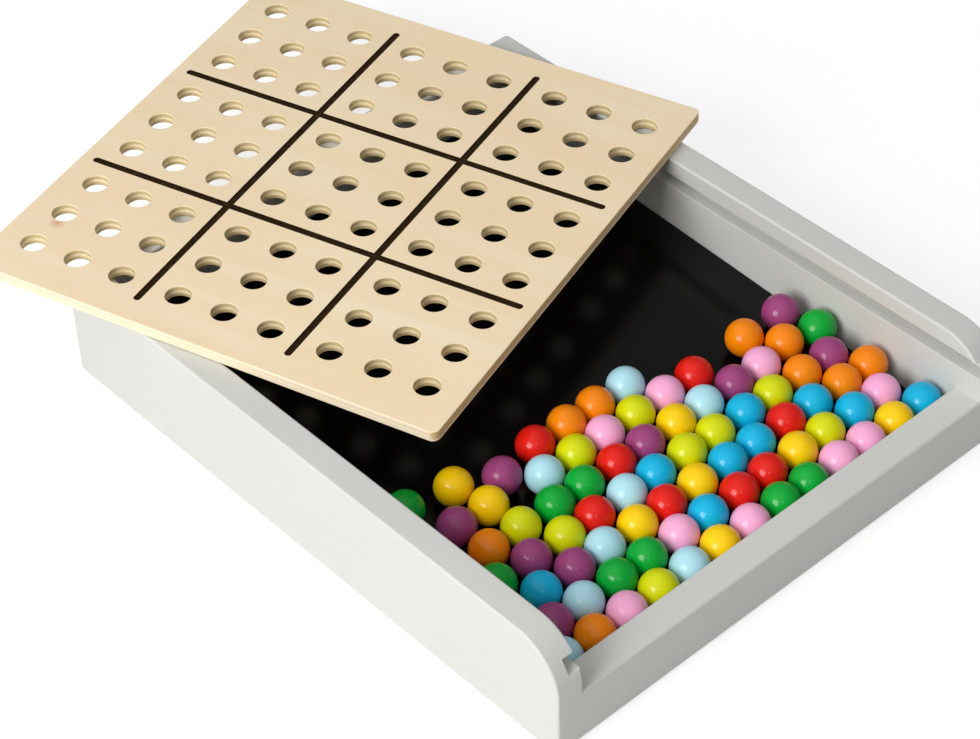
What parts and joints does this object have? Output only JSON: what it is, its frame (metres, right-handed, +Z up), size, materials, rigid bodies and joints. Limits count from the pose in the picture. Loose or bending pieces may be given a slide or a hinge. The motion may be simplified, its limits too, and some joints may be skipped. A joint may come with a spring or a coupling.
{
  "type": "colour sudoku game",
  "caption": "White painted tray with a sloping gloss black floor, loose coloured balls in it, and a drilled plywood board lying askew across its side walls.",
  "frame": {"origin": "middle of the front wall's underside, on the surface that the tray stands on", "axes": "+Z up, +Y from the open front of the tray to its back wall, +X to the right seen from the front"},
  "size_m": [0.2608, 0.3562, 0.0521],
  "materials": {
    "white_paint": "satin white paint on board",
    "black_gloss": "mirror gloss black",
    "plywood": "clear matt on birch plywood",
    "red_lacquer": "gloss lacquer",
    "orange_lacquer": "gloss lacquer",
    "yellow_lacquer": "gloss lacquer",
    "lime_lacquer": "gloss lacquer",
    "green_lacquer": "gloss lacquer",
    "light_blue_lacquer": "gloss lacquer",
    "blue_lacquer": "gloss lacquer",
    "pink_lacquer": "gloss lacquer",
    "purple_lacquer": "gloss lacquer"
  },
  "bodies": {
    "tray": {"side_wall_left": "white_paint", "side_wall_right": "white_paint", "front_wall": "white_paint", "back_wall": "white_paint", "sloping_floor": "black_gloss"},
    "board": {"playing_board": "plywood"},
    "ball_01": {"ball_01_light_blue": "light_blue_lacquer"},
    "ball_02": {"ball_02_orange": "orange_lacquer"},
    "ball_03": {"ball_03_pink": "pink_lacquer"},
    "ball_04": {"ball_04_lime": "lime_lacquer"},
    "ball_05": {"ball_05_light_blue": "light_blue_lacquer"},
    "ball_06": {"ball_06_yellow": "yellow_lacquer"},
    "ball_07": {"ball_07_pink": "pink_lacquer"},
    "ball_12": {"ball_12_yellow": "yellow_lacquer"},
    "ball_13": {"ball_13_blue": "blue_lacquer"},
    "ball_32": {"ball_32_yellow": "yellow_lacquer"},
    "ball_51": {"ball_51_red": "red_lacquer"},
    "ball_62": {"ball_62_orange": "orange_lacquer"},
    "ball_63": {"ball_63_green": "green_lacquer"},
    "ball_64": {"ball_64_light_blue": "light_blue_lacquer"},
    "ball_65": {"ball_65_purple": "purple_lacquer"},
    "ball_66": {"ball_66_yellow": "yellow_lacquer"},
    "ball_67": {"ball_67_light_blue": "light_blue_lacquer"},
    "ball_70": {"ball_70_lime": "lime_lacquer"},
    "ball_71": {"ball_71_pink": "pink_lacquer"},
    "ball_72": {"ball_72_red": "red_lacquer"},
    "ball_73": {"ball_73_orange": "orange_lacquer"},
    "ball_74": {"ball_74_purple": "purple_lacquer"},
    "ball_75": {"ball_75_green": "green_lacquer"},
    "ball_76": {"ball_76_yellow": "yellow_lacquer"},
    "ball_77": {"ball_77_purple": "purple_lacquer"},
    "ball_78": {"ball_78_red": "red_lacquer"},
    "ball_81": {"ball_81_light_blue": "light_blue_lacquer"},
    "balls_08_09": {"balls_08_09_green_green": "green_lacquer"},
    "balls_10_11": {"balls_10_11_pink_pink": "pink_lacquer"},
    "balls_14_15": {"balls_14_15_purple_light_blue": "purple_lacquer"},
    "balls_16_17": {"balls_16_17_green_green": "green_lacquer"},
    "balls_18_19": {"balls_18_19_pink_blue": "pink_lacquer"},
    "balls_20_21": {"balls_20_21_red_red": "red_lacquer"},
    "balls_22_23": {"balls_22_23_yellow_lime": "yellow_lacquer"},
    "balls_24_25": {"balls_24_25_blue_pink": "blue_lacquer"},
    "balls_26_27": {"balls_26_27_yellow_blue": "yellow_lacquer"},
    "balls_28_29": {"balls_28_29_purple_light_blue": "purple_lacquer"},
    "balls_30_31": {"balls_30_31_yellow_red": "yellow_lacquer"},
    "balls_33_34": {"balls_33_34_blue_blue": "blue_lacquer"},
    "balls_35_36": {"balls_35_36_red_blue": "red_lacquer"},
    "balls_37_38": {"balls_37_38_orange_orange": "orange_lacquer"},
    "balls_39_40": {"balls_39_40_green_purple": "green_lacquer"},
    "balls_41_42": {"balls_41_42_lime_red": "lime_lacquer"},
    "balls_43_44": {"balls_43_44_light_blue_blue": "light_blue_lacquer"},
    "balls_45_46": {"balls_45_46_lime_lime": "lime_lacquer"},
    "balls_47_48": {"balls_47_48_blue_lime": "blue_lacquer"},
    "balls_49_50": {"balls_49_50_orange_purple": "orange_lacquer"},
    "balls_52_53": {"balls_52_53_orange_lime": "orange_lacquer"},
    "balls_54_55": {"balls_54_55_green_green": "green_lacquer"},
    "balls_56_57": {"balls_56_57_red_purple": "red_lacquer"},
    "balls_58_59": {"balls_58_59_yellow_light_blue": "yellow_lacquer"},
    "balls_60_61": {"balls_60_61_purple_pink": "purple_lacquer"},
    "balls_68_69": {"balls_68_69_lime_pink": "lime_lacquer"},
    "balls_79_80": {"balls_79_80_orange_orange": "orange_lacquer"}
  },
  "joints": [
    {"name": "board_lift", "type": "slide", "parent": "tray", "child": "board", "axis": [0, 0, 1], "range_m": [0, 0.06]},
    {"name": "ball_01_lift", "type": "slide", "parent": "tray", "child": "ball_01", "axis": [0, 0, 1], "range_m": [0, 0.04]},
    {"name": "ball_02_lift", "type": "slide", "parent": "tray", "child": "ball_02", "axis": [0, 0, 1], "range_m": [0, 0.04]},
    {"name": "ball_03_lift", "type": "slide", "parent": "tray", "child": "ball_03", "axis": [0, 0, 1], "range_m": [0, 0.04]},
    {"name": "ball_04_lift", "type": "slide", "parent": "tray", "child": "ball_04", "axis": [0, 0, 1], "range_m": [0, 0.04]},
    {"name": "ball_05_lift", "type": "slide", "parent": "tray", "child": "ball_05", "axis": [0, 0, 1], "range_m": [0, 0.04]},
    {"name": "ball_06_lift", "type": "slide", "parent": "tray", "child": "ball_06", "axis": [0, 0, 1], "range_m": [0, 0.04]},
    {"name": "ball_07_lift", "type": "slide", "parent": "tray", "child": "ball_07", "axis": [0, 0, 1], "range_m": [0, 0.04]},
    {"name": "ball_12_lift", "type": "slide", "parent": "tray", "child": "ball_12", "axis": [0, 0, 1], "range_m": [0, 0.04]},
    {"name": "ball_13_lift", "type": "slide", "parent": "tray", "child": "ball_13", "axis": [0, 0, 1], "range_m": [0, 0.04]},
    {"name": "ball_32_lift", "type": "slide", "parent": "tray", "child": "ball_32", "axis": [0, 0, 1], "range_m": [0, 0.04]},
    {"name": "ball_51_lift", "type": "slide", "parent": "tray", "child": "ball_51", "axis": [0, 0, 1], "range_m": [0, 0.04]},
    {"name": "ball_62_lift", "type": "slide", "parent": "tray", "child": "ball_62", "axis": [0, 0, 1], "range_m": [0, 0.04]},
    {"name": "ball_63_lift", "type": "slide", "parent": "tray", "child": "ball_63", "axis": [0, 0, 1], "range_m": [0, 0.04]},
    {"name": "ball_64_lift", "type": "slide", "parent": "tray", "child": "ball_64", "axis": [0, 0, 1], "range_m": [0, 0.04]},
    {"name": "ball_65_lift", "type": "slide", "parent": "tray", "child": "ball_65", "axis": [0, 0, 1], "range_m": [0, 0.04]},
    {"name": "ball_66_lift", "type": "slide", "parent": "tray", "child": "ball_66", "axis": [0, 0, 1], "range_m": [0, 0.04]},
    {"name": "ball_67_lift", "type": "slide", "parent": "tray", "child": "ball_67", "axis": [0, 0, 1], "range_m": [0, 0.04]},
    {"name": "ball_70_lift", "type": "slide", "parent": "tray", "child": "ball_70", "axis": [0, 0, 1], "range_m": [0, 0.04]},
    {"name": "ball_71_lift", "type": "slide", "parent": "tray", "child": "ball_71", "axis": [0, 0, 1], "range_m": [0, 0.04]},
    {"name": "ball_72_lift", "type": "slide", "parent": "tray", "child": "ball_72", "axis": [0, 0, 1], "range_m": [0, 0.04]},
    {"name": "ball_73_lift", "type": "slide", "parent": "tray", "child": "ball_73", "axis": [0, 0, 1], "range_m": [0, 0.04]},
    {"name": "ball_74_lift", "type": "slide", "parent": "tray", "child": "ball_74", "axis": [0, 0, 1], "range_m": [0, 0.04]},
    {"name": "ball_75_lift", "type": "slide", "parent": "tray", "child": "ball_75", "axis": [0, 0, 1], "range_m": [0, 0.04]},
    {"name": "ball_76_lift", "type": "slide", "parent": "tray", "child": "ball_76", "axis": [0, 0, 1], "range_m": [0, 0.015]},
    {"name": "ball_77_lift", "type": "slide", "parent": "tray", "child": "ball_77", "axis": [0, 0, 1], "range_m": [0, 0.04]},
    {"name": "ball_78_lift", "type": "slide", "parent": "tray", "child": "ball_78", "axis": [0, 0, 1], "range_m": [0, 0.04]},
    {"name": "ball_81_lift", "type": "slide", "parent": "tray", "child": "ball_81", "axis": [0, 0, 1], "range_m": [0, 0.04]},
    {"name": "balls_08_09_lift", "type": "slide", "parent": "tray", "child": "balls_08_09", "axis": [0, 0, 1], "range_m": [0, 0.04]},
    {"name": "balls_10_11_lift", "type": "slide", "parent": "tray", "child": "balls_10_11", "axis": [0, 0, 1], "range_m": [0, 0.04]},
    {"name": "balls_14_15_lift", "type": "slide", "parent": "tray", "child": "balls_14_15", "axis": [0, 0, 1], "range_m": [0, 0.04]},
    {"name": "balls_16_17_lift", "type": "slide", "parent": "tray", "child": "balls_16_17", "axis": [0, 0, 1], "range_m": [0, 0.04]},
    {"name": "balls_18_19_lift", "type": "slide", "parent": "tray", "child": "balls_18_19", "axis": [0, 0, 1], "range_m": [0, 0.04]},
    {"name": "balls_20_21_lift", "type": "slide", "parent": "tray", "child": "balls_20_21", "axis": [0, 0, 1], "range_m": [0, 0.04]},
    {"name": "balls_22_23_lift", "type": "slide", "parent": "tray", "child": "balls_22_23", "axis": [0, 0, 1], "range_m": [0, 0.04]},
    {"name": "balls_24_25_lift", "type": "slide", "parent": "tray", "child": "balls_24_25", "axis": [0, 0, 1], "range_m": [0, 0.04]},
    {"name": "balls_26_27_lift", "type": "slide", "parent": "tray", "child": "balls_26_27", "axis": [0, 0, 1], "range_m": [0, 0.04]},
    {"name": "balls_28_29_lift", "type": "slide", "parent": "tray", "child": "balls_28_29", "axis": [0, 0, 1], "range_m": [0, 0.04]},
    {"name": "balls_30_31_lift", "type": "slide", "parent": "tray", "child": "balls_30_31", "axis": [0, 0, 1], "range_m": [0, 0.04]},
    {"name": "balls_33_34_lift", "type": "slide", "parent": "tray", "child": "balls_33_34", "axis": [0, 0, 1], "range_m": [0, 0.04]},
    {"name": "balls_35_36_lift", "type": "slide", "parent": "tray", "child": "balls_35_36", "axis": [0, 0, 1], "range_m": [0, 0.04]},
    {"name": "balls_37_38_lift", "type": "slide", "parent": "tray", "child": "balls_37_38", "axis": [0, 0, 1], "range_m": [0, 0.04]},
    {"name": "balls_39_40_lift", "type": "slide", "parent": "tray", "child": "balls_39_40", "axis": [0, 0, 1], "range_m": [0, 0.04]},
    {"name": "balls_41_42_lift", "type": "slide", "parent": "tray", "child": "balls_41_42", "axis": [0, 0, 1], "range_m": [0, 0.04]},
    {"name": "balls_43_44_lift", "type": "slide", "parent": "tray", "child": "balls_43_44", "axis": [0, 0, 1], "range_m": [0, 0.04]},
    {"name": "balls_45_46_lift", "type": "slide", "parent": "tray", "child": "balls_45_46", "axis": [0, 0, 1], "range_m": [0, 0.04]},
    {"name": "balls_47_48_lift", "type": "slide", "parent": "tray", "child": "balls_47_48", "axis": [0, 0, 1], "range_m": [0, 0.04]},
    {"name": "balls_49_50_lift", "type": "slide", "parent": "tray", "child": "balls_49_50", "axis": [0, 0, 1], "range_m": [0, 0.04]},
    {"name": "balls_52_53_lift", "type": "slide", "parent": "tray", "child": "balls_52_53", "axis": [0, 0, 1], "range_m": [0, 0.04]},
    {"name": "balls_54_55_lift", "type": "slide", "parent": "tray", "child": "balls_54_55", "axis": [0, 0, 1], "range_m": [0, 0.04]},
    {"name": "balls_56_57_lift", "type": "slide", "parent": "tray", "child": "balls_56_57", "axis": [0, 0, 1], "range_m": [0, 0.04]},
    {"name": "balls_58_59_lift", "type": "slide", "parent": "tray", "child": "balls_58_59", "axis": [0, 0, 1], "range_m": [0, 0.04]},
    {"name": "balls_60_61_lift", "type": "slide", "parent": "tray", "child": "balls_60_61", "axis": [0, 0, 1], "range_m": [0, 0.04]},
    {"name": "balls_68_69_lift", "type": "slide", "parent": "tray", "child": "balls_68_69", "axis": [0, 0, 1], "range_m": [0, 0.04]},
    {"name": "balls_79_80_lift", "type": "slide", "parent": "tray", "child": "balls_79_80", "axis": [0, 0, 1], "range_m": [0, 0.04]}
  ]
}
